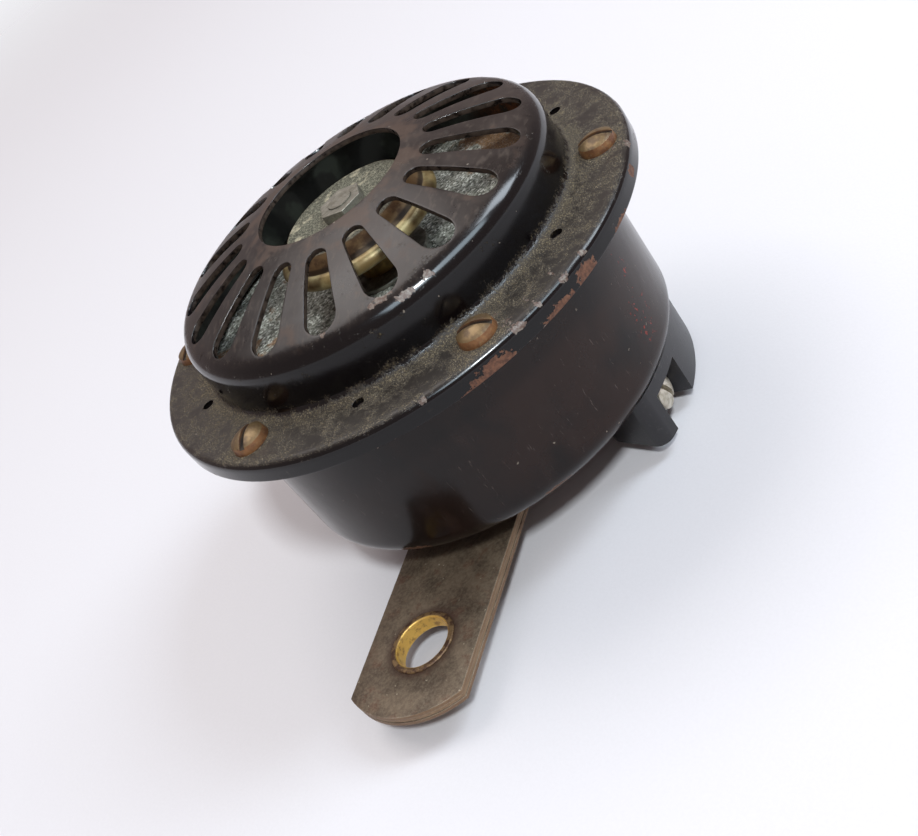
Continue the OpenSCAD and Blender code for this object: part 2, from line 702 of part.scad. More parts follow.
front_grille();
cover_screws();
front_gasket();
diaphragm();
rear_gasket();
tone_disc();
tone_disc_nut();
tone_disc_spacer();
diaphragm_washers();
centre_rod();
armature();
contact_pusher();
rear_case();
magnet_yoke();
magnet_core();
coil_bobbin();
coil_winding();
contact_stand();
stand_screw();
stack_insulators();
stack_screws();
blade_roots();
fixed_contact_arm();
fixed_contact();
moving_contact_blade();
moving_contact();
adjusting_screw();
adjuster_washer();
adjuster_bush();
spark_capacitor();
capacitor_clip();
clip_rivet();
terminal_block();
terminal_sheet();
terminal_insert();
terminal_bush();
terminal_screw();
terminal_washer();
block_rivets();
terminal_lead();
coil_lead();
capacitor_lead();
mounting_stud();
stud_spacer();
stud_washer();
stud_nut();
bracket_leaf_front();
bracket_leaf_middle();
bracket_leaf_rear();
bracket_eyelet();
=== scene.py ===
"""Looks of the electric alarm horn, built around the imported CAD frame.

Lengths named here are millimetres. "Horn coordinates" have their origin on the horn's axis, at
the top face of the grille's flange, with Z towards the grille; everything in Blender is in metres.
"""
import math

import bmesh
import bpy
import numpy as np
from mathutils import Matrix, Quaternion, Vector


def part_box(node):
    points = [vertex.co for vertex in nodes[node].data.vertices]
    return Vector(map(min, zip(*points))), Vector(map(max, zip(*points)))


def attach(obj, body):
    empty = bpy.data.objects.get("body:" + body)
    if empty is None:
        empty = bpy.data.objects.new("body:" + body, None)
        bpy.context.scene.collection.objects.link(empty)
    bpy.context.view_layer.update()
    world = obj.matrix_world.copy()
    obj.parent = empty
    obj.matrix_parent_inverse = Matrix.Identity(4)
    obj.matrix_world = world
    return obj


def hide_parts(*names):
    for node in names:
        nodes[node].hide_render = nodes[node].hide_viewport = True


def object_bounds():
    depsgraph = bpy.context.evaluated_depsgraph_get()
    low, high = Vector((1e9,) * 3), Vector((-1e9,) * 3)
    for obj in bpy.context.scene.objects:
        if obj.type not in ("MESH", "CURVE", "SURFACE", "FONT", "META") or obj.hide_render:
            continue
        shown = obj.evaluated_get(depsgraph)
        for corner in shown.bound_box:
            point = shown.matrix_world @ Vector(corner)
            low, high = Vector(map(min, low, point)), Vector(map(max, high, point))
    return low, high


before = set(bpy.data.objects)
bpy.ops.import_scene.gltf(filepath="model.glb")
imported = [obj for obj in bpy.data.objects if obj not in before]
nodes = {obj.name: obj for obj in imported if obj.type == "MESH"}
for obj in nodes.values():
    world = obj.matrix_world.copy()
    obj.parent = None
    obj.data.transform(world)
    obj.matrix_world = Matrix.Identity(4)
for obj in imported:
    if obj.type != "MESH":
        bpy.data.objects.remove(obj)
cad_low, cad_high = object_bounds()

MM = 0.001

# ---------------------------------------------------------------- the horn's place and sizes
grille_low, grille_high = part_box("front_grille")
gasket_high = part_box("front_gasket")[1]
SHEET = 1.0
HORN = Vector(((grille_low.x + grille_high.x) / 2, (grille_low.y + grille_high.y) / 2,
               gasket_high.z + SHEET * MM))
FLANGE_R = (grille_high.x - grille_low.x) / 2 / MM
SKIRT_Z = (grille_low.z - HORN.z) / MM
FLANGE_EDGE_R = 1.4
CROWN_R = 93.0
CROWN_H = 18.45
DOME_R = 38.7
SHOULDER_R = 4.0
BASE_FILLET_R = 1.6
OPENING_R = 15.2
SLOTS = 18
SLOT_R_IN = 19.4
SLOT_R_OUT = 36.2
SLOT_W_IN = 4.2
SLOT_W_OUT = 6.2
SCREWS = 6
SCREW_CIRCLE_R = 44.4
SCREW_ANGLE = math.radians(-104.2)
DRAIN_R = 1.1
DRAIN_CIRCLE_R = DOME_R + BASE_FILLET_R + DRAIN_R + 0.2

CROWN_CZ = CROWN_H - CROWN_R
SHOULDER_CR = DOME_R - SHOULDER_R
SHOULDER_CZ = CROWN_CZ + math.sqrt((CROWN_R - SHOULDER_R) ** 2 - SHOULDER_CR ** 2)
TANGENT_R = SHOULDER_CR * CROWN_R / (CROWN_R - SHOULDER_R)


def crown_z(r):
    """Height of the grille's outer face at radius r, over the crown and the shoulder."""
    if r <= TANGENT_R:
        return CROWN_CZ + math.sqrt(CROWN_R ** 2 - r ** 2)
    return SHOULDER_CZ + math.sqrt(max(SHOULDER_R ** 2 - (r - SHOULDER_CR) ** 2, 0))


# ---------------------------------------------------------------- building node materials
def rgb(red, green, blue):
    """A linear colour from 0-255 display values."""
    linear = [c / 12.92 if c <= 0.04045 else ((c + 0.055) / 1.055) ** 2.4
              for c in (red / 255, green / 255, blue / 255)]
    return (*linear, 1)


class Paint:
    """Builds one node material in layers. Sizes of textures are millimetres on the object."""

    def __init__(self, name, colour, rough, metal=0.0):
        self.material = bpy.data.materials.new(name)
        self.material.use_nodes = True
        self.tree = self.material.node_tree
        self.bsdf = self.tree.nodes["Principled BSDF"]
        coords = self.tree.nodes.new("ShaderNodeTexCoord")
        shift = self.tree.nodes.new("ShaderNodeVectorMath")
        shift.operation = "MULTIPLY_ADD"
        self.put(shift.inputs[0], coords.outputs["Object"])
        shift.inputs[1].default_value = (1 / MM,) * 3
        shift.inputs[2].default_value = -HORN / MM
        self.place = shift.outputs[0]
        parts = self.tree.nodes.new("ShaderNodeSeparateXYZ")
        self.put(parts.inputs[0], self.place)
        self.x, self.y, self.z = parts.outputs
        self.colour, self.rough, self.metal = colour, rough, metal
        self.heights = []

    def put(self, socket, value):
        if isinstance(value, bpy.types.NodeSocket):
            self.tree.links.new(value, socket)
        else:
            socket.default_value = value

    def math(self, operation, *values, clamp=False):
        node = self.tree.nodes.new("ShaderNodeMath")
        node.operation, node.use_clamp = operation, clamp
        for socket, value in zip(node.inputs, values):
            self.put(socket, value)
        return node.outputs[0]

    def add(self, *values):
        total = values[0]
        for value in values[1:]:
            total = self.math("ADD", total, value)
        return total

    def times(self, *values):
        total = values[0]
        for value in values[1:]:
            total = self.math("MULTIPLY", total, value)
        return total

    def most(self, *values):
        total = values[0]
        for value in values[1:]:
            total = self.math("MAXIMUM", total, value)
        return total

    def invert(self, value):
        return self.math("SUBTRACT", 1.0, value)

    def radius(self, cx=0.0, cy=0.0):
        """Distance from an upright line, by default the horn's axis."""
        dx, dy = self.math("SUBTRACT", self.x, cx), self.math("SUBTRACT", self.y, cy)
        return self.math("SQRT", self.add(self.times(dx, dx), self.times(dy, dy)))

    def step(self, value, low, high):
        """0 at low, 1 at high, smooth between; low may be the larger of the two."""
        node = self.tree.nodes.new("ShaderNodeMapRange")
        node.interpolation_type = "SMOOTHSTEP"
        self.put(node.inputs["Value"], value)
        self.put(node.inputs["From Min"], low)
        self.put(node.inputs["From Max"], high)
        return node.outputs["Result"]

    def stretched(self, scale, seed):
        node = self.tree.nodes.new("ShaderNodeMapping")
        self.put(node.inputs["Vector"], self.place)
        node.inputs["Scale"].default_value = scale
        node.inputs["Location"].default_value = (seed, seed * 1.7, seed * 0.6)
        return node.outputs[0]

    def noise(self, size, detail=4.0, rough=0.5, seed=0.0, scale=(1, 1, 1), warp=0.0):
        node = self.tree.nodes.new("ShaderNodeTexNoise")
        self.put(node.inputs["Vector"], self.stretched(scale, seed))
        for name, value in (("Scale", 1 / size), ("Detail", detail), ("Roughness", rough),
                            ("Distortion", warp)):
            node.inputs[name].default_value = value
        return node.outputs["Fac"]

    def cells(self, size, output="Distance", seed=0.0):
        node = self.tree.nodes.new("ShaderNodeTexVoronoi")
        self.put(node.inputs["Vector"], self.stretched((1, 1, 1), seed))
        node.inputs["Scale"].default_value = 1 / size
        return node.outputs[output]

    def cell_value(self, size, seed=0.0):
        """Three unrelated random values per cell."""
        node = self.tree.nodes.new("ShaderNodeSeparateColor")
        self.put(node.inputs[0], self.cells(size, "Color", seed))
        return node.outputs

    def specks(self, size, share, seed=0.0):
        """Small uneven spots; share is the part of the cells that hold one."""
        chosen = self.math("LESS_THAN", self.cell_value(size, seed)[0], share)
        uneven = self.times(self.noise(size * 0.3, 2, 0.5, seed=seed), 0.5)
        reach = self.add(self.cells(size, "Distance", seed), uneven)
        return self.times(chosen, self.step(reach, 0.42, 0.34))

    def attribute(self, name):
        node = self.tree.nodes.new("ShaderNodeAttribute")
        node.attribute_name = name
        return node.outputs["Fac"]

    def nook(self, reach, low=0.85, high=0.35):
        """1 in corners and grooves narrower than reach, 0 on open faces."""
        node = self.tree.nodes.new("ShaderNodeAmbientOcclusion")
        node.samples = 6
        node.only_local = True
        node.inputs["Distance"].default_value = reach * MM
        return self.step(node.outputs["AO"], low, high)

    def corner(self, reach, low=0.985, high=0.9):
        """1 on sharp edges, out to about reach, 0 on smooth faces."""
        bevel = self.tree.nodes.new("ShaderNodeBevel")
        bevel.samples = 6
        bevel.inputs["Radius"].default_value = reach * MM
        dot = self.tree.nodes.new("ShaderNodeVectorMath")
        dot.operation = "DOT_PRODUCT"
        self.put(dot.inputs[0], bevel.outputs[0])
        self.put(dot.inputs[1], self.geometry("Normal"))
        return self.step(dot.outputs["Value"], low, high)

    def geometry(self, output):
        return self.tree.nodes.new("ShaderNodeNewGeometry").outputs[output]

    def facing_up(self):
        parts = self.tree.nodes.new("ShaderNodeSeparateXYZ")
        self.put(parts.inputs[0], self.geometry("Normal"))
        return parts.outputs[2]

    def mix(self, share, first, second):
        """Colour between first and second."""
        node = self.tree.nodes.new("ShaderNodeMix")
        node.data_type = "RGBA"
        self.put(node.inputs["Factor"], share)
        ends = [socket for socket in node.inputs if socket.type == "RGBA"]
        for socket, value in zip(ends, (first, second)):
            self.put(socket, value)
        return next(socket for socket in node.outputs if socket.type == "RGBA")

    def blend(self, share, first, second):
        """Number between first and second."""
        node = self.tree.nodes.new("ShaderNodeMix")
        node.data_type = "FLOAT"
        for socket, value in zip((node.inputs[0], *node.inputs[2:4]), (share, first, second)):
            self.put(socket, value)
        return node.outputs[0]

    def cover(self, share, colour=None, rough=None, metal=None):
        """Lays a coat over what is there, as thick as share says."""
        if colour is not None:
            self.colour = self.mix(share, self.colour, colour)
        if rough is not None:
            self.rough = self.blend(share, self.rough, rough)
        if metal is not None:
            self.metal = self.blend(share, self.metal, metal)

    def raise_by(self, share, height):
        """Adds relief: share times height, in millimetres."""
        self.heights.append(self.times(share, height * MM))

    def finish(self, coat=0.0, coat_rough=0.1, specular=0.5):
        for name, value in (("Base Color", self.colour), ("Roughness", self.rough),
                            ("Metallic", self.metal), ("Coat Weight", coat),
                            ("Coat Roughness", coat_rough), ("Specular IOR Level", specular)):
            self.put(self.bsdf.inputs[name], value)
        if self.heights:
            bump = self.tree.nodes.new("ShaderNodeBump")
            bump.inputs["Strength"].default_value = 1.0
            bump.inputs["Distance"].default_value = 1.0
            self.put(bump.inputs["Height"], self.add(*self.heights))
            self.put(self.bsdf.inputs["Normal"], bump.outputs[0])
        return self.material


# ---------------------------------------------------------------- materials
RUST_DARK = rgb(62, 38, 27)
RUST_RED = rgb(110, 76, 57)
DIRT = rgb(62, 54, 42)
DIRT_LIGHT = rgb(124, 112, 84)
DUST = rgb(150, 142, 128)

# Large chips on the grille's skirt, rim and shoulder, and scuffs and flecks on the case; the pale
# rubbed chips on the rim and shoulder are worn paint with painted highlight on them. Each one is its
# angle round the horn's axis in degrees, its height, its length round the axis and its width.
SKIRT_CHIPS = ((-46, -3.7, 9, 4.6), (-53, -4.2, 4, 1.8), (-30, -3.9, 8, 3.2),
               (-21.5, -3.3, 6, 4.2), (-8, -4.0, 7, 2.2), (5, -2.0, 3.4, 2.0),
               (-63, -4.3, 5, 1.2), (-38, -4.6, 12, 1.0), (31, -1.6, 4, 2.2), (62, -3.4, 5, 2.6),
               (118, -3.2, 7, 3.0), (171, -3.6, 5, 2.4), (214, -3.0, 8, 3.2))
RIM_CHIPS_AND_HIGHLIGHTS = ((-38.5, -0.6, 4.5, 1.4), (-26, -0.6, 2.6, 1.3), (-59.5, -0.6, 1.6, 1.1),
             (-33, -0.4, 1.4, 1.2), (-20, -0.6, 1.8, 1.0), (12, -0.5, 2.5, 1.3),
             (84, -0.5, 3, 1.4), (146, -0.5, 4, 1.2), (196, -0.5, 3, 1.4))
SHOULDER_CHIPS_AND_HIGHLIGHTS = ((-51, 9.9, 4.0, 1.4), (-44, 10.0, 2.6, 1.2), (-57, 11.0, 6, 0.8),
                  (-31.5, 11.8, 1.5, 0.9), (-74, 11.0, 1.2, 1.0), (95, 10.4, 5, 1.4),
                  (188, 10.8, 3, 1.2))
CASE_SCUFFS = ((-92, -34.8, 8, 1.7), (-51, -35.6, 7.5, 1.5), (64, -34.8, 6, 1.6),
               (150, -33.5, 9, 1.8), (208, -35.4, 6, 1.6))
RED_FLECKS = ((-4, -26, 6, 9), (0, -19, 3, 12))
SPOT_DEPTH = 8


def near_spots(spots, spots_r, soft):
    """Field that is 1 on the listed spots and 0 away from them.

    The spots lie at radius spots_r, and soft is the width of their faded edge, as a share."""
    def field(r, z, angle):
        most = np.zeros_like(r)
        for spot, height, length, width in spots:
            off = (angle - math.radians(spot) + math.pi) % (2 * math.pi) - math.pi
            far = np.hypot(off * spots_r / (length / 2), (z - height) / (width / 2))
            far = np.hypot(far, (r - spots_r) / SPOT_DEPTH)
            most = np.maximum(most, np.clip((1 + soft - far) / (2 * soft), 0, 1))
        return most
    return field


def chips(p, name, ragged):
    """The big chips painted on a mesh, with edges made uneven by a noise; the pale rubbed ones also
    hold painted highlight.
    """
    return p.add(p.attribute(name), p.times(p.math("SUBTRACT", ragged, 0.5), 1.8))


def enamel_grille():
    """Black stoving enamel under dust, chipped to primer on its edges, dirty in its corners,
    with painted highlight on its rubbed chips and painted shade on one side of its crown.
    """
    p = Paint("black_enamel_grille", rgb(10, 8, 9), 0.15)
    blotch = p.noise(9, 5, 0.6)
    middle = p.noise(3.6, 5, 0.62, seed=9)
    fine = p.noise(1.5, 6, 0.65, seed=3)
    grit = p.noise(0.34, 3, 0.65, seed=7)
    grains = p.step(p.noise(0.2, 2, 0.6, seed=17), 0.56, 0.66)
    edge, nook = p.attribute("edge"), p.attribute("nook")
    up = p.step(p.facing_up(), 0.55, 0.97)

    crown = p.times(p.step(p.z, 9.0, 11.8), up)
    # The crown's film is painted darker towards -x -y, the side turned away from the window light:
    # painted shade.
    shaded_side = p.step(p.add(p.x, p.y), -2.0, -34.0)
    film = p.mix(shaded_side, rgb(48, 41, 37), rgb(30, 25, 23))
    p.cover(p.times(crown, p.blend(p.step(blotch, 0.3, 0.7), 0.4, 1.0)), film, 0.42)
    smear = p.noise(0.9, 3, 0.6, seed=11, scale=(1, 0.35, 1))
    p.cover(p.times(p.step(smear, 0.5, 0.72), crown, 0.4), rgb(80, 71, 63), 0.5)
    dusty = p.step(p.radius(), 22.0, 15.5)
    stain = p.add(p.noise(5.5, 4, 0.6, seed=15), p.times(dusty, 0.16))
    p.cover(p.times(p.step(stain, 0.55, 0.72), crown, 0.5), rgb(80, 62, 50), 0.55)
    cut = p.times(p.step(p.z, 9.0, 9.6), p.step(p.facing_up(), 0.4, 0.15))
    p.cover(p.times(cut, p.step(fine, 0.3, 0.6)), rgb(58, 48, 40), 0.6)

    flat = p.times(p.step(p.z, 3.0, 1.2), up)
    p.cover(p.times(flat, p.blend(blotch, 0.5, 0.95)), rgb(42, 37, 32), 0.5)
    sand = p.add(p.times(flat, 0.16), p.times(nook, 0.2), p.times(fine, 0.56),
                 p.times(middle, 0.7), p.times(grit, 0.36))
    dirt = p.step(sand, 0.92, 1.22)
    p.cover(p.times(dirt, 0.8), p.mix(p.step(grit, 0.5, 0.7), DIRT, DIRT_LIGHT), 0.9)
    loose = p.times(flat, grains, p.step(p.add(middle, p.times(nook, 0.25)), 0.38, 0.6))
    p.cover(p.times(loose, 0.85), p.mix(fine, rgb(112, 98, 72), rgb(184, 174, 150)), 0.85)
    p.raise_by(p.times(dirt, grit), 0.14)
    p.raise_by(loose, 0.05)

    wear = p.add(p.times(edge, 0.36), p.times(fine, 0.62), p.times(middle, 0.4))
    small = p.step(wear, 0.93, 0.945)
    ragged = p.add(p.times(p.noise(0.8, 4, 0.6, seed=33), 0.7), p.times(fine, 0.7), -0.2)
    bare = p.step(chips(p, "bare", ragged), 0.62, 0.66)
    # Rubbed chips on the rim and shoulder: worn paint, faded to pale grey where highlights fall, so
    # partly painted highlight.
    rubbed = p.step(chips(p, "rubbed", ragged), 0.62, 0.67)
    p.cover(small, p.mix(p.step(fine, 0.5, 0.7), rgb(74, 54, 44), rgb(130, 118, 108)), 0.5)
    p.cover(bare, p.mix(p.step(p.noise(0.7, 4, 0.65, seed=21), 0.3, 0.7), rgb(70, 46, 36), RUST_RED),
            0.62)
    p.cover(rubbed, p.mix(p.step(p.noise(0.5, 4, 0.65, seed=25), 0.4, 0.66), rgb(80, 60, 50),
                          rgb(120, 114, 106)), 0.5)
    p.raise_by(p.invert(p.most(small, bare, rubbed)), 0.06)

    dust = p.specks(1.1, 0.05, seed=31)
    p.cover(p.times(dust, 0.5), DUST, 0.8)
    p.raise_by(p.noise(4, 2, 0.4, seed=41), 0.02)
    return p.finish(specular=p.blend(p.step(p.facing_up(), 0.05, 0.3), 0.28, 0.42))


def enamel_inside():
    """Underside of the grille: a dark greenish film, with rust low on the dome's right wall."""
    p = Paint("rusty_enamel_inside", rgb(17, 17, 14), 0.55)
    rust = p.noise(2.2, 6, 0.65, seed=51)
    patch = p.noise(6, 3, 0.5, seed=55)
    p.cover(p.step(patch, 0.5, 0.62), rgb(34, 38, 32))
    low = p.times(p.step(p.radius(), 34.0, 36.4), p.step(p.x, 8, 20))
    p.cover(p.times(low, p.step(rust, 0.34, 0.5)), p.mix(p.step(rust, 0.4, 0.6), rgb(48, 29, 16),
                                                        rgb(110, 68, 36)), 0.7)
    p.cover(p.times(low, p.step(p.noise(0.6, 4, 0.7, seed=53), 0.55, 0.7)), rgb(146, 102, 62), 0.8)
    p.raise_by(rust, 0.08)
    return p.finish(specular=0.3)


def enamel_case():
    """Glossy brown-black enamel with scuffs, red flecks and a few dust specks."""
    p = Paint("black_enamel_case", rgb(10, 8, 8), 0.15)
    blotch = p.noise(14, 4, 0.55, seed=2)
    fine = p.noise(1.4, 5, 0.65, seed=5)
    # The brown blotches are painted stronger towards +x +y: stain with a painted warm reflection of
    # the room.
    right = p.step(p.add(p.x, p.times(p.y, 0.8)), -22.0, 6.0)
    p.cover(p.times(p.step(blotch, 0.25, 0.6), p.blend(right, 0.4, 1.0)), rgb(33, 20, 15), 0.2)
    haze = p.times(p.step(p.noise(6, 5, 0.6, seed=29, scale=(1, 1, 0.4)), 0.5, 0.68), 0.5)
    p.cover(haze, rgb(36, 25, 21), 0.34)
    ragged = p.add(p.times(p.noise(0.8, 4, 0.6, seed=35), 0.4), p.times(fine, 0.6))
    scuff = p.step(chips(p, "scuff", ragged), 0.5, 0.8)
    p.cover(p.times(scuff, 0.85), p.mix(fine, RUST_DARK, rgb(120, 84, 58)), 0.6)
    worn = p.step(p.add(p.times(p.attribute("edge"), 0.2), p.times(fine, 0.8)), 0.79, 0.81)
    p.cover(worn, rgb(86, 60, 46), 0.6)
    flecks = p.times(p.step(p.noise(1.2, 3, 0.6, seed=13), 0.59, 0.66), p.attribute("flecked"))
    p.cover(flecks, rgb(122, 36, 24), 0.4)
    dust = p.specks(1.3, 0.03, seed=19)
    p.cover(p.times(dust, 0.55), DUST, 0.8)
    scratches = p.noise(2.2, 4, 0.7, seed=37, scale=(3.2, 3.2, 0.5))
    p.cover(p.times(p.step(scratches, 0.64, 0.7), 0.35), rgb(92, 84, 78), 0.5)
    p.raise_by(p.noise(5, 2, 0.4, seed=23), 0.04)
    p.raise_by(p.invert(p.most(scuff, worn)), 0.04)
    return p.finish(specular=0.26)


def tarnished(name, clean, dark, size=1.6, rough=0.38, metal=1.0, grime=0.7, reach=0.9):
    """Metal whose tarnish gathers in patches and in corners."""
    p = Paint(name, clean, rough, metal)
    patch = p.noise(size, 5, 0.62)
    fine = p.noise(size * 0.2, 3, 0.6, seed=4)
    share = p.math("ADD", p.times(p.step(patch, 0.36, 0.66), grime), p.nook(reach), clamp=True)
    p.cover(share, dark, min(rough + 0.3, 0.9), metal * 0.6)
    p.cover(p.times(p.step(fine, 0.56, 0.74), 0.35), DIRT_LIGHT)
    p.raise_by(fine, 0.015)
    p.raise_by(patch, 0.03)
    return p.finish()


def screw_brass():
    """Brass heads browned with age, dirt and painted shade in the slots, a rubbed orange side."""
    p = Paint("screw_brass", rgb(122, 102, 72), 0.36, 0.6)
    patch = p.noise(2.2, 5, 0.6)
    fine = p.noise(0.35, 3, 0.6, seed=4)
    p.cover(p.step(patch, 0.42, 0.62), rgb(88, 70, 50), 0.46, 0.4)
    side = p.step(p.facing_up(), 0.75, 0.35)
    p.cover(p.times(side, 0.8), p.mix(p.step(patch, 0.35, 0.65), rgb(138, 94, 56), rgb(104, 66, 44)),
            0.45, 0.3)
    p.cover(p.times(p.step(fine, 0.55, 0.72), 0.45), rgb(140, 124, 86), 0.8, 0.2)
    # Slot floors and corners painted dark: dirt with painted shade.
    slot = p.times(p.step(p.facing_up(), 0.9, 0.97), p.step(p.z, 1.6, 1.35))
    p.cover(p.times(p.most(slot, p.nook(1.2, 0.85, 0.5)), 0.92), rgb(30, 22, 14), 0.9, 0.0)
    p.raise_by(fine, 0.03)
    p.raise_by(patch, 0.05)
    return p.finish()


def zinc_spangle():
    """Zinc plate: small crystals from dark to painted white glints, with brown stains to one side."""
    p = Paint("zinc_spangle", rgb(158, 160, 149), 0.42, 0.3)
    crystal = p.cell_value(0.42)
    speckle = p.noise(0.3, 3, 0.6, seed=3)
    p.cover(p.step(crystal[0], 0.42, 0.25), rgb(98, 100, 90), 0.55)
    # Some crystals are painted near white: painted glints.
    p.cover(p.times(p.step(crystal[1], 0.72, 0.82), p.step(speckle, 0.35, 0.5)),
            rgb(236, 240, 232), 0.3)
    p.cover(p.times(p.step(crystal[2], 0.24, 0.12), p.step(speckle, 0.4, 0.55)),
            rgb(58, 60, 52), 0.6)
    side = p.step(p.add(p.times(p.x, 0.9), p.times(p.y, 0.45)), 14.0, 25.0)
    left = p.step(p.add(p.times(p.x, -0.3), p.times(p.y, -0.95)), 17.0, 27.0)
    spread = p.times(p.most(side, p.times(left, 0.8)), p.step(p.radius(), 22.0, 28.0))
    stain = p.add(p.noise(5, 5, 0.65, seed=8), p.times(spread, 0.3))
    p.cover(p.times(p.step(stain, 0.6, 0.7), 0.85), p.mix(p.step(speckle, 0.35, 0.65),
            rgb(76, 48, 24), rgb(148, 108, 64)), 0.75, 0.0)
    p.raise_by(crystal[0], 0.05)
    p.raise_by(speckle, 0.05)
    return p.finish()


def bronze_disc():
    """Tone disc: a dusty speckled plate inside a dull bronze rim, with painted shade in its groove and
    corners.
    """
    p = Paint("bronze_disc", rgb(146, 118, 80), 0.5, 0.3)
    speckle = p.noise(0.36, 4, 0.75)
    patch = p.noise(2.6, 5, 0.6, seed=5)
    p.cover(p.step(patch, 0.42, 0.62), rgb(104, 78, 52), 0.55, 0.2)
    bead = p.step(p.radius(), 14.5, 14.9)
    p.cover(p.times(bead, 0.85), p.mix(p.step(patch, 0.3, 0.6), rgb(178, 168, 122), rgb(146, 126, 82)),
            0.42, 0.3)
    # Painted shade: a dark ring in the groove between the flank and the bead.
    groove_shade = p.times(p.step(p.radius(), 14.1, 14.4), p.step(p.radius(), 14.95, 14.7))
    p.cover(p.times(groove_shade, 0.8), rgb(44, 32, 20), 0.7, 0.1)
    plate = p.times(p.step(p.radius(), 13.0, 12.5), p.step(p.z, 11.0, 11.6))
    olive = p.mix(p.step(speckle, 0.40, 0.66), rgb(52, 51, 40), rgb(128, 128, 110))
    p.cover(plate, olive, 0.62, 0.25)
    p.cover(p.times(plate, p.step(p.noise(4.2, 5, 0.65, seed=12), 0.54, 0.64), 0.8),
            p.mix(speckle, rgb(108, 100, 76), rgb(196, 190, 164)), 0.8, 0.0)
    # Painted shade in the disc's corners.
    p.cover(p.times(p.nook(1.2, 0.8, 0.3), 0.85), rgb(30, 23, 16), 0.8, 0.2)
    p.raise_by(p.times(speckle, plate), 0.08)
    p.raise_by(patch, 0.03)
    return p.finish()


def eyelet_brass():
    """Yellow brass inside the bore, browned like the strap on its lips."""
    p = Paint("eyelet_brass", rgb(222, 184, 96), 0.42, 0.5)
    patch = p.noise(1.3, 5, 0.62)
    p.cover(p.step(patch, 0.48, 0.66), rgb(164, 128, 74), 0.5)
    rim = p.step(p.radius(0, -HORN.y / MM), 5.28, 5.6)
    p.cover(rim, p.mix(p.step(patch, 0.4, 0.6), rgb(70, 48, 34), rgb(122, 98, 66)), 0.5)
    p.raise_by(patch, 0.05)
    return p.finish()


def spring_leaf(name, tone, seed):
    """Browned spring steel, lightly brushed along the strap, rubbed bright on its edges."""
    p = Paint(name, rgb(74, 62, 50), 0.5, 0.45)
    grain = p.noise(0.5, 4, 0.6, seed=seed, scale=(1, 0.12, 1))
    patch = p.noise(5, 6, 0.6, seed=seed + 3)
    fine = p.noise(0.6, 4, 0.7, seed=seed + 7)
    side = p.step(p.math("ABSOLUTE", p.facing_up()), 0.6, 0.3)
    p.cover(p.step(patch, 0.35, 0.65), rgb(104, 90, 74), 0.56)
    p.cover(p.times(p.step(p.noise(3.2, 5, 0.65, seed=seed + 9), 0.52, 0.66), 0.6), rgb(88, 58, 42))
    p.cover(p.times(p.step(fine, 0.35, 0.7), 0.35), rgb(140, 128, 108))
    p.cover(p.times(side, 0.8), p.mix(grain, rgb(92, 66, 46), tone), 0.55)
    p.cover(p.times(p.corner(0.4), p.step(patch, 0.3, 0.6), 0.75), rgb(170, 160, 142), 0.4, 0.7)
    p.cover(p.times(p.specks(1.1, 0.14, seed=seed + 5), 0.6), rgb(182, 172, 150), 0.6)
    hole = p.radius(0, -HORN.y / MM)
    p.cover(p.times(p.step(hole, 8.4, 6.4), 0.7), rgb(66, 44, 34))
    p.raise_by(grain, 0.03)
    p.raise_by(patch, 0.05)
    p.raise_by(fine, 0.02)
    return p.finish()


def bakelite():
    """Moulded black phenolic with a faint flow pattern and dull scuffs."""
    p = Paint("bakelite", rgb(20, 19, 21), 0.34)
    p.cover(p.noise(4, 4, 0.6, warp=0.6), rgb(30, 28, 31), 0.4)
    scuff = p.step(p.noise(0.9, 5, 0.65, seed=6), 0.56, 0.7)
    p.cover(p.times(scuff, 0.4), rgb(58, 56, 56), 0.55)
    p.cover(p.times(p.corner(0.5), scuff, 0.8), rgb(104, 98, 92), 0.55)
    p.raise_by(scuff, 0.015)
    return p.finish()


def fibre(name, first, second, size=0.8):
    """Pressed fibre sheet or cotton covering."""
    p = Paint(name, first, 0.8)
    strands = p.noise(size, 5, 0.7, scale=(1, 1, 0.4), warp=0.4)
    p.cover(p.step(strands, 0.35, 0.65), second)
    p.raise_by(strands, 0.05)
    return p.finish()


def winding():
    """Enamelled wire in layers under a dull varnish."""
    p = Paint("winding", rgb(84, 36, 20), 0.4, 0.3)
    wave = p.tree.nodes.new("ShaderNodeTexWave")
    wave.bands_direction = "Z"
    p.put(wave.inputs["Vector"], p.place)
    wave.inputs["Scale"].default_value = 0.55
    p.cover(wave.outputs["Fac"], rgb(156, 84, 48))
    p.raise_by(wave.outputs["Fac"], 0.15)
    return p.finish(coat=0.4, coat_rough=0.3)


def paper():
    """Plain pale floor that fades into the backdrop."""
    p = Paint("paper", rgb(209, 210, 214), 0.8)
    tooth = p.noise(0.6, 4, 0.6)
    p.cover(tooth, rgb(215, 216, 220))
    p.raise_by(tooth, 0.02)
    p.put(p.bsdf.inputs["Alpha"], p.step(p.radius(), 1100, 450))
    return p.finish()


# ---------------------------------------------------------------- mesh building
MERGE_GAP = 0.001


def arc(cx, cz, r, start, end, count):
    """Points on a circle from start to end, in degrees, both included."""
    angles = (math.radians(start + (end - start) * i / count) for i in range(count + 1))
    return [(cx + r * math.cos(a), cz + r * math.sin(a)) for a in angles]


def make_object(name, mesh, body, slot, *replaced):
    """Shows a mesh as a piece of a body, in place of the CAD nodes it replaces."""
    mesh.update()
    mesh.shade_smooth()
    obj = bpy.data.objects.new(name, mesh)
    bpy.context.scene.collection.objects.link(obj)
    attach(obj, body)
    if replaced:
        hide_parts(*replaced)
    return obj


def mesh_from(bm, name):
    """Mesh with its seams merged and its faces turned outwards."""
    bmesh.ops.remove_doubles(bm, verts=bm.verts, dist=MERGE_GAP * MM)
    bmesh.ops.recalc_face_normals(bm, faces=bm.faces)
    mesh = bpy.data.meshes.new(name)
    bm.to_mesh(mesh)
    bm.free()
    return mesh


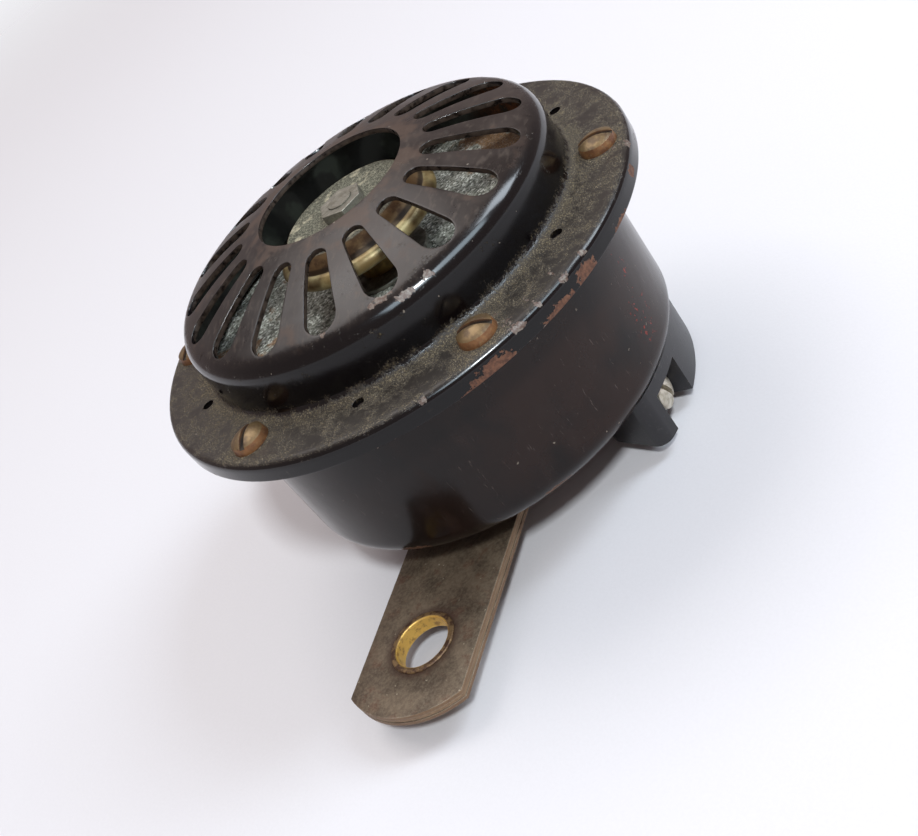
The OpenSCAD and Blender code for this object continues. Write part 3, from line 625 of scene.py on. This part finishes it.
def lathe_into(bm, profile, segments, centre=HORN, first=0.0, closed=False):
    """Turns a profile of (radius, height) points round the vertical line through centre."""
    rings = []
    for r, z in profile:
        ring = []
        for i in range(segments):
            a = first + 2 * math.pi * i / segments
            place = Vector((r * math.cos(a), r * math.sin(a), z)) * MM + centre
            ring.append(bm.verts.new(place))
        rings.append(ring)
    pairs = list(zip(rings, rings[1:] + rings[:1])) if closed else list(zip(rings, rings[1:]))
    for low, high in pairs:
        for i in range(segments):
            j = (i + 1) % segments
            bm.faces.new((low[i], low[j], high[j], high[i]))


def lathe(name, profile, segments, centre=HORN):
    """Mesh turned from a closed profile."""
    bm = bmesh.new()
    lathe_into(bm, profile, segments, centre, closed=True)
    return mesh_from(bm, name)


def freeze(obj):
    """Applies the object's modifiers to its mesh."""
    bpy.context.view_layer.update()
    evaluated = obj.evaluated_get(bpy.context.evaluated_depsgraph_get())
    mesh = bpy.data.meshes.new_from_object(evaluated)
    obj.modifiers.clear()
    obj.data = mesh


def bevel(obj, width, segments, angle):
    """Rounds the edges sharper than angle, in degrees."""
    modifier = obj.modifiers.new("edges", "BEVEL")
    modifier.width = width * MM
    modifier.segments = segments
    modifier.limit_method = "ANGLE"
    modifier.angle_limit = math.radians(angle)


def soften(node, width, angle=35):
    """Rounds the edges of a CAD node's shown shape, and shades it smoothly."""
    obj = nodes[node]
    obj.modifiers.new("weld", "WELD").merge_threshold = 1e-6
    bevel(obj, width, 2, angle)
    smooth = obj.modifiers.new("normals", "WEIGHTED_NORMAL")
    smooth.keep_sharp = True


def paint_points(obj, name, field):
    """Stores field(r, z, angle) for each vertex, in horn coordinates."""
    count = len(obj.data.vertices)
    co = np.zeros(count * 3, np.float32)
    obj.data.vertices.foreach_get("co", co)
    x, y, z = ((co.reshape(-1, 3) - np.array(HORN)) / MM).T
    values = field(np.hypot(x, y), z, np.arctan2(y, x))
    layer = obj.data.attributes.get(name) or obj.data.attributes.new(name, "FLOAT", "POINT")
    layer.data.foreach_set("value", np.asarray(values, np.float32))


def bump_at(distance, width):
    """Bell curve: 1 at no distance, about a third at width."""
    return np.exp(-(distance / width) ** 2)


# ---------------------------------------------------------------- front grille
GRID_OUTER_R = 37.6
GRID_INNER_R = 16.8
CAP_STEPS_OUT = 20
CAP_STEPS_IN = 12
SIDE_STEPS = 22


def slot_and_cell():
    """Matching loops of points round one slot and round its share of the crown."""
    r1, r2 = SLOT_W_IN / 2, SLOT_W_OUT / 2
    x1, x2 = SLOT_R_IN + r1, SLOT_R_OUT - r2
    lean = math.degrees(math.asin((r2 - r1) / (x2 - x1)))
    half = 180 / SLOTS
    out_cap = arc(x2, 0, r2, -90 - lean, 90 + lean, CAP_STEPS_OUT)
    in_cap = arc(x1, 0, r1, 90 + lean, 270 - lean, CAP_STEPS_IN)
    out_arc = arc(0, 0, GRID_OUTER_R, -half, half, CAP_STEPS_OUT)
    in_arc = arc(0, 0, GRID_INNER_R, half, -half, CAP_STEPS_IN)

    def side(a, b):
        return [(a[0] + (b[0] - a[0]) * i / SIDE_STEPS, a[1] + (b[1] - a[1]) * i / SIDE_STEPS)
                for i in range(1, SIDE_STEPS)]

    slot = out_cap + side(out_cap[-1], in_cap[0]) + in_cap + side(in_cap[-1], out_cap[0])
    cell = out_arc + side(out_arc[-1], in_arc[0]) + in_arc + side(in_arc[-1], out_arc[0])
    return slot, cell


def crown_cells(bm):
    """The slotted part of the crown: rings of points that spread from each slot to its cell."""
    slot, cell = slot_and_cell()
    near = (0.0, 0.45, 0.9)     # rings close to the slot's edge, for the bevel
    spread = 4                  # further rings, spaced evenly out to the cell
    for k in range(SLOTS):
        turn = SCREW_ANGLE + (k + 0.5) * 2 * math.pi / SLOTS
        c, s = math.cos(turn), math.sin(turn)
        rings = []
        for level in range(len(near) + spread):
            ring = []
            for (ax, ay), (bx, by) in zip(slot, cell):
                gap = math.hypot(bx - ax, by - ay)
                if level < len(near):
                    share = near[level] / gap
                else:
                    start = near[-1] / gap
                    share = start + (1 - start) * (level - len(near) + 1) / spread
                x, y = ax + (bx - ax) * share, ay + (by - ay) * share
                z = crown_z(math.hypot(x, y))
                ring.append(bm.verts.new(Vector((x * c - y * s, x * s + y * c, z)) * MM + HORN))
            rings.append(ring)
        for low, high in zip(rings, rings[1:]):
            for i in range(len(low)):
                j = (i + 1) % len(low)
                bm.faces.new((low[i], low[j], high[j], high[i]))


def build_grille():
    bm = bmesh.new()
    crown_cells(bm)
    first = SCREW_ANGLE
    inner = [OPENING_R + (GRID_INNER_R - OPENING_R) * i / 4 for i in range(5)]
    lathe_into(bm, [(r, crown_z(r)) for r in inner], SLOTS * CAP_STEPS_IN, first=first)

    shoulder_start = math.degrees(math.acos((GRID_OUTER_R - SHOULDER_CR) / SHOULDER_R))
    fillet_r = DOME_R + BASE_FILLET_R
    edge_r = FLANGE_R - FLANGE_EDGE_R
    outer = arc(SHOULDER_CR, SHOULDER_CZ, SHOULDER_R, shoulder_start, 0, 12)
    outer += [(DOME_R, SHOULDER_CZ + (BASE_FILLET_R - SHOULDER_CZ) * i / 6) for i in range(1, 6)]
    outer += arc(fillet_r, BASE_FILLET_R, BASE_FILLET_R, 180, 270, 8)
    outer += [(fillet_r + (edge_r - fillet_r) * i / 14, 0) for i in range(1, 14)]
    outer += arc(edge_r, -FLANGE_EDGE_R, FLANGE_EDGE_R, 90, 0, 8)
    outer += [(FLANGE_R, -FLANGE_EDGE_R + (SKIRT_Z + FLANGE_EDGE_R) * i / 6) for i in range(1, 7)]
    lathe_into(bm, outer, SLOTS * CAP_STEPS_OUT, first=first)

    mesh = mesh_from(bm, "front_grille_shell")
    mesh.materials.append(enamel_grille())
    mesh.materials.append(enamel_inside())
    obj = make_object("front_grille_shell", mesh, "horn", "black_enamel", "front_grille")
    solid = obj.modifiers.new("sheet", "SOLIDIFY")
    solid.thickness = SHEET * MM
    solid.offset = -1
    solid.material_offset = 1
    solid.use_even_offset = True
    bevel(obj, 0.3, 3, 60)
    freeze(obj)
    drill_drains(obj)

    def edge(r, z, angle):
        skirt_r, shoulder_r, shoulder_z = 48, 37.6, 10.3
        rim = 0.9 * bump_at(np.hypot(r - (FLANGE_R - 0.4), z + 0.4), 0.9)
        skirt = bump_at(z - SKIRT_Z, 0.7) * (r > skirt_r)
        shoulder = 0.55 * bump_at(np.hypot(r - shoulder_r, z - shoulder_z), 1.3)
        opening = 0.5 * bump_at(r - OPENING_R, 0.5)
        return np.maximum.reduce([rim, skirt, shoulder, opening])

    def nook(r, z, angle):
        pitch = 2 * math.pi / SCREWS
        off = (angle - SCREW_ANGLE + pitch / 2) % pitch - pitch / 2
        to_screw = np.hypot(r * np.cos(off) - SCREW_CIRCLE_R, r * np.sin(off))
        base = bump_at(r - (DOME_R + 1.0), 2.3) * (z < 2.5) * (z > -0.5)
        return np.maximum(base, 0.9 * bump_at(to_screw - 3.6, 1.5) * (z > -0.5))

    paint_points(obj, "edge", edge)
    paint_points(obj, "nook", nook)
    paint_points(obj, "bare", near_spots(SKIRT_CHIPS, FLANGE_R, 0.5))
    # Rubbed chips on the shoulder and rim: worn paint with painted highlight.
    rims = (near_spots(SHOULDER_CHIPS_AND_HIGHLIGHTS, DOME_R - 1, 0.7), near_spots(RIM_CHIPS_AND_HIGHLIGHTS, FLANGE_R - 0.6, 0.7))
    paint_points(obj, "rubbed", lambda r, z, a: np.maximum(rims[0](r, z, a), rims[1](r, z, a)))


def drill_drains(obj):
    """Cuts the small holes between the screws."""
    bm = bmesh.new()
    for i in range(SCREWS):
        a = SCREW_ANGLE + (i + 0.5) * 2 * math.pi / SCREWS
        offset = Vector((math.cos(a), math.sin(a), 0)) * DRAIN_CIRCLE_R * MM
        bmesh.ops.create_cone(bm, cap_ends=True, segments=28, radius1=DRAIN_R * MM,
                              radius2=DRAIN_R * MM, depth=3 * MM,
                              matrix=Matrix.Translation(HORN + offset))
    cutter = bpy.data.objects.new("drain_cutter", mesh_from(bm, "drain_cutter"))
    bpy.context.scene.collection.objects.link(cutter)
    modifier = obj.modifiers.new("drains", "BOOLEAN")
    modifier.operation = "DIFFERENCE"
    modifier.solver = "EXACT"
    modifier.object = cutter
    freeze(obj)
    bpy.data.objects.remove(cutter)


# ---------------------------------------------------------------- other turned pieces
def build_case():
    low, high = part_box("rear_case")
    top, back = (high.z - HORN.z) / MM, (low.z - HORN.z) / MM
    wall_r, wall, floor, flange_t, corner = 41.0, 1.2, 1.1, 1.1, 5.0
    fillet_r, chamfer, hole_r = 1.6, 0.2, 4.1
    rim_r = (high.x - low.x) / 2 / MM
    under = top - flange_t
    outer = [(hole_r, back), (14, back), (24, back), (31, back)]
    outer += arc(wall_r - corner, back + corner, corner, -90, 0, 12)
    wall_top = under - fillet_r
    outer += [(wall_r, back + corner + (wall_top - back - corner) * i / 24) for i in range(1, 24)]
    outer += arc(wall_r + fillet_r, under - fillet_r, fillet_r, 180, 90, 6)
    outer += [(rim_r - chamfer, under), (rim_r, under + chamfer), (rim_r, top - chamfer),
              (rim_r - chamfer, top)]
    inner_r, inner_corner = wall_r - wall, corner - wall
    inner = [(inner_r, top), (inner_r, back + floor + inner_corner)]
    inner += arc(inner_r - inner_corner, back + floor + inner_corner, inner_corner, 0, -90, 8)[1:]
    inner += [(hole_r, back + floor)]
    mesh = lathe("rear_case_shell", outer + inner, 300)
    obj = make_object("rear_case_shell", mesh, "horn", "black_enamel", "rear_case")
    mesh.set_sharp_from_angle(angle=math.radians(40))
    paint_points(obj, "edge", lambda r, z, a: bump_at(np.hypot(r - 39.5, z - back - 1.5), 2.2)
                 * (z < back + 5))
    paint_points(obj, "scuff", near_spots(CASE_SCUFFS, wall_r - 1.2, 0.8))
    paint_points(obj, "flecked", near_spots(RED_FLECKS, wall_r, 0.4))
    mesh.materials.append(enamel_case())


def build_tone_disc():
    low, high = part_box("tone_disc")
    top = (high.z - HORN.z) / MM
    bead_r, circle_r, plate_r, thick, bore = 1.45, 15.0, 12.8, 0.8, 2.42
    bead_z = top - 4.1
    profile = [(bore, top), (6, top), (10, top), (plate_r - 0.3, top)]
    profile += arc(plate_r - 0.3, top - 0.5, 0.5, 80, 45, 3)
    profile += [(13.7, top - 1.15), (14.45, top - 2.15), (14.62, top - 2.5), (14.75, top - 2.66)]
    profile += arc(circle_r, bead_z, bead_r, 92, -128, 22)
    profile += [(14.0, bead_z + 0.2), (13.6, bead_z + 1.4), (12.2, top - thick),
                (8, top - thick), (bore, top - thick)]
    mesh = lathe("tone_disc_dish", profile, 200)
    make_object("tone_disc_dish", mesh, "vibrator", "bronze_disc", "tone_disc")
    mesh.set_sharp_from_angle(angle=math.radians(50))
    mesh.materials.append(bronze_disc())


def build_eyelet():
    low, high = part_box("bracket_eyelet")
    centre = Vector(((low.x + high.x) / 2, (low.y + high.y) / 2, 0))
    rim = (high.x - low.x) / 2 / MM
    bore, lip, wall = 5.25, 0.35, 0.6
    bottom, top = low.z / MM, high.z / MM
    profile = [(bore, bottom + 0.5), (bore, top - 0.5)]
    profile += arc(bore + 0.35, top - 0.35, 0.35, 180, 90, 5)
    profile += arc(rim - 0.3, top - 0.3, 0.3, 90, 0, 4)
    profile += [(rim - 0.1, top - lip), (bore + wall, top - lip), (bore + wall, bottom + lip),
                (rim - 0.1, bottom + lip)]
    profile += arc(rim - 0.3, bottom + 0.3, 0.3, 0, -90, 4)
    profile += arc(bore + 0.35, bottom + 0.35, 0.35, -90, -180, 5)
    mesh = lathe("eyelet_liner", profile, 96, centre)
    make_object("eyelet_liner", mesh, "bracket", "yellow_brass", "bracket_eyelet")
    mesh.set_sharp_from_angle(angle=math.radians(50))
    mesh.materials.append(eyelet_brass())


# ---------------------------------------------------------------- bracket leaves
def build_leaf(node, inset, tone, offset):
    """One spring leaf as a flat plate with its two holes and rubbed edges."""
    low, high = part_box(node)
    half = (high.x - low.x) / 2 / MM - inset
    stud_y = HORN.y / MM
    tip = -low.y / MM - inset
    tip_r, eyelet_r, stud_r = 18.0, 5.9, 4.1
    corner = math.degrees(math.asin(half / tip_r))
    outline = arc(0, tip_r - tip, tip_r, -90 - corner, -90 + corner, 20)
    outline += arc(0, stud_y, half, 0, 180, 32)
    loops = [outline, arc(0, 0, eyelet_r, 0, 360, 64)[:-1], arc(0, stud_y, stud_r, 0, 360, 40)[:-1]]
    bm = bmesh.new()
    for loop in loops:
        ring = [bm.verts.new((x * MM, y * MM, low.z)) for x, y in loop]
        for a, b in zip(ring, ring[1:] + ring[:1]):
            bm.edges.new((a, b))
    filled = bmesh.ops.triangle_fill(bm, use_beauty=True, use_dissolve=False, edges=bm.edges[:])
    faces = [f for f in filled["geom"] if isinstance(f, bmesh.types.BMFace)]
    grown = bmesh.ops.extrude_face_region(bm, geom=faces)
    moved = [v for v in grown["geom"] if isinstance(v, bmesh.types.BMVert)]
    bmesh.ops.translate(bm, verts=moved, vec=(0, 0, high.z - low.z))
    mesh = mesh_from(bm, node + "_plate")
    obj = make_object(node + "_plate", mesh, "bracket", "spring_steel", node)
    bevel(obj, 0.12, 2, 50)
    freeze(obj)
    obj.data.set_sharp_from_angle(angle=math.radians(30))
    obj.data.materials.clear()
    obj.data.materials.append(spring_leaf(node + "_steel", tone, offset))


# ---------------------------------------------------------------- CAD nodes that keep their shape
def dress(material, names, width=0.0, angle=35):
    """Gives CAD nodes a material, and edges rounded by width."""
    for name in names:
        mesh = nodes[name].data
        mesh.materials.clear()
        mesh.materials.append(material)
        mesh.shade_smooth()
        mesh.set_sharp_from_angle(angle=math.radians(angle))
        if width:
            soften(name, width, angle)


def dress_cad_nodes():
    brass = screw_brass()
    dull_brass = tarnished("dull_brass", rgb(170, 140, 84), rgb(92, 70, 40), 2.4)
    zinc = tarnished("dull_zinc", rgb(150, 148, 138), rgb(80, 72, 58), 1.8, 0.45)
    steel = tarnished("stud_steel", rgb(128, 118, 106), rgb(70, 54, 42), 2.5, 0.42)
    nickel = tarnished("nickel", rgb(212, 206, 192), rgb(132, 120, 98), 1.4, 0.36, grime=0.6)
    iron = tarnished("magnet_iron", rgb(96, 94, 92), rgb(56, 46, 40), 4.0, 0.5)
    bronze = tarnished("spring_bronze", rgb(190, 148, 84), rgb(120, 84, 46), 2.0, 0.3)
    tungsten = tarnished("tungsten", rgb(180, 182, 186), rgb(90, 88, 86), 0.8, 0.25)
    can = tarnished("capacitor_can", rgb(176, 174, 168), rgb(120, 112, 98), 3.0, 0.4)
    red_fibre = fibre("red_fibre", rgb(92, 34, 24), rgb(132, 54, 36))
    dark_fibre = fibre("dark_fibre", rgb(40, 30, 24), rgb(66, 50, 38))
    dress(brass, ["cover_screws", "stand_screw"], 0.12)
    dress(dull_brass, ["tone_disc_spacer", "adjusting_screw", "adjuster_bush"], 0.12)
    dress(dull_brass, ["terminal_insert"])
    dress(zinc, ["tone_disc_nut", "centre_rod", "diaphragm_washers", "contact_stand",
                 "stack_screws", "adjuster_washer", "clip_rivet", "block_rivets"], 0.15)
    dress(zinc, ["capacitor_clip"])
    dress(zinc_spangle(), ["diaphragm"])
    dress(steel, ["mounting_stud", "stud_spacer", "stud_washer", "stud_nut"], 0.25)
    dress(nickel, ["terminal_screw", "terminal_washer"], 0.15)
    dress(iron, ["armature", "magnet_yoke", "magnet_core"], 0.3)
    dress(bronze, ["blade_roots", "fixed_contact_arm", "moving_contact_blade"], 0.05)
    dress(tungsten, ["fixed_contact", "moving_contact"], 0.08)
    dress(can, ["spark_capacitor"], 0.4)
    dress(winding(), ["coil_winding"])
    dress(red_fibre, ["coil_bobbin", "stack_insulators", "contact_pusher", "terminal_bush"])
    dress(dark_fibre, ["front_gasket", "rear_gasket", "terminal_sheet"])
    dress(bakelite(), ["terminal_block"], 0.5)
    dress(fibre("red_cotton", rgb(110, 26, 18), rgb(150, 48, 32), 0.4), ["terminal_lead"])
    dress(fibre("black_cotton", rgb(18, 18, 18), rgb(40, 38, 36), 0.4),
          ["coil_lead", "capacitor_lead"])


# ---------------------------------------------------------------- floor, light and camera
CAMERA_TARGET = Vector((4.8, 38.3, 17.9)) * MM
CAMERA_AZIMUTH = 42.4
CAMERA_ELEVATION = 32.05
CAMERA_ROLL = -38.9
CAMERA_DISTANCE = 0.238
CAMERA_LENS = 50.8
ROOM_LIGHT = (0.45, 0.36, 0.35, 1)
ROOM_STRENGTH = 0.75
BACKDROP = (1.18, 1.18, 1.22, 1)
FLOOR_R = 3.0               # metres


def facing(direction, roll=0.0):
    """Orientation that looks along direction, turned by roll degrees about it."""
    level = direction.to_track_quat("-Z", "Y")
    return level @ Quaternion((0, 0, 1), math.radians(roll))


def add_to_stage(name, data, location, rotation):
    obj = bpy.data.objects.new(name, data)
    bpy.context.scene.collection.objects.link(obj)
    obj.location = location
    obj.rotation_mode = "QUATERNION"
    obj.rotation_quaternion = rotation
    return obj


def area_light(name, direction, distance, size, power, colour, mirrored_only=False):
    """Rectangular soft light that shines at the horn from a direction.

    One that is mirrored only adds a reflection to glossy surfaces, and no light of its own."""
    light = bpy.data.lights.new(name, "AREA")
    light.shape = "RECTANGLE"
    light.size, light.size_y = size
    light.energy = power
    light.color = colour
    direction = Vector(direction).normalized()
    obj = add_to_stage(name, light, HORN + direction * distance, facing(-direction))
    obj.visible_diffuse = not mirrored_only


def build_camera():
    """Camera rolled so that the horn's axis leans left. Returns the direction back to it."""
    a, e = math.radians(CAMERA_AZIMUTH), math.radians(CAMERA_ELEVATION)
    back = Vector((math.sin(a) * math.cos(e), -math.cos(a) * math.cos(e), math.sin(e)))
    camera = bpy.data.cameras.new("camera")
    camera.lens = CAMERA_LENS
    camera.sensor_width = 36
    camera.clip_start, camera.clip_end = 0.01, 20
    place = CAMERA_TARGET + back * CAMERA_DISTANCE
    obj = add_to_stage("camera", camera, place, facing(-back, CAMERA_ROLL))
    bpy.context.scene.camera = obj
    return back


def build_stage():
    """Pale floor and backdrop, a warm dim room, and a camera with a soft light beside it.

    A window, the ceiling and a second window that is only mirrored give the reflections."""
    bm = bmesh.new()
    bmesh.ops.create_circle(bm, cap_ends=True, segments=96, radius=FLOOR_R)
    mesh = bpy.data.meshes.new("floor")
    bm.to_mesh(mesh)
    bm.free()
    mesh.materials.append(paper())
    place = Vector((HORN.x, HORN.y, cad_low.z))
    add_to_stage("floor", mesh, place, Quaternion())

    world = bpy.data.worlds.new("room")
    bpy.context.scene.world = world
    world.use_nodes = True
    background = world.node_tree.nodes["Background"]
    background.inputs["Strength"].default_value = ROOM_STRENGTH
    seen = world.node_tree.nodes.new("ShaderNodeLightPath").outputs["Is Camera Ray"]
    backdrop = world.node_tree.nodes.new("ShaderNodeMixRGB")
    backdrop.inputs["Color1"].default_value = ROOM_LIGHT
    backdrop.inputs["Color2"].default_value = BACKDROP
    world.node_tree.links.new(seen, backdrop.inputs["Fac"])
    world.node_tree.links.new(backdrop.outputs[0], background.inputs["Color"])

    back = build_camera()
    key = back + Vector((-0.05, 0.16, 0.23))
    area_light("key", key, 2.0, (0.22, 0.22), 28, (0.95, 0.98, 1.0))
    area_light("window", (0.60, 0.38, 0.65), 1.0, (0.31, 0.49), 6, (0.8, 0.9, 1.0))
    area_light("ceiling", (-0.4, 0.3, 1.0), 2.0, (1.3, 1.3), 18, (1.0, 0.96, 0.94))
    area_light("far_window", (0.62, -0.34, 0.72), 0.9, (1.0, 0.3), 8, (0.72, 0.88, 1.0), True)


# ---------------------------------------------------------------- assembly
build_grille()
build_case()
build_tone_disc()
build_eyelet()
build_leaf("bracket_leaf_front", 0.0, rgb(150, 122, 92), 0)
build_leaf("bracket_leaf_middle", 0.18, rgb(168, 142, 110), 20)
build_leaf("bracket_leaf_rear", 0.06, rgb(140, 112, 86), 40)
dress_cad_nodes()
build_stage()
view_settings = bpy.context.scene.view_settings
view_settings.view_transform = "Standard"
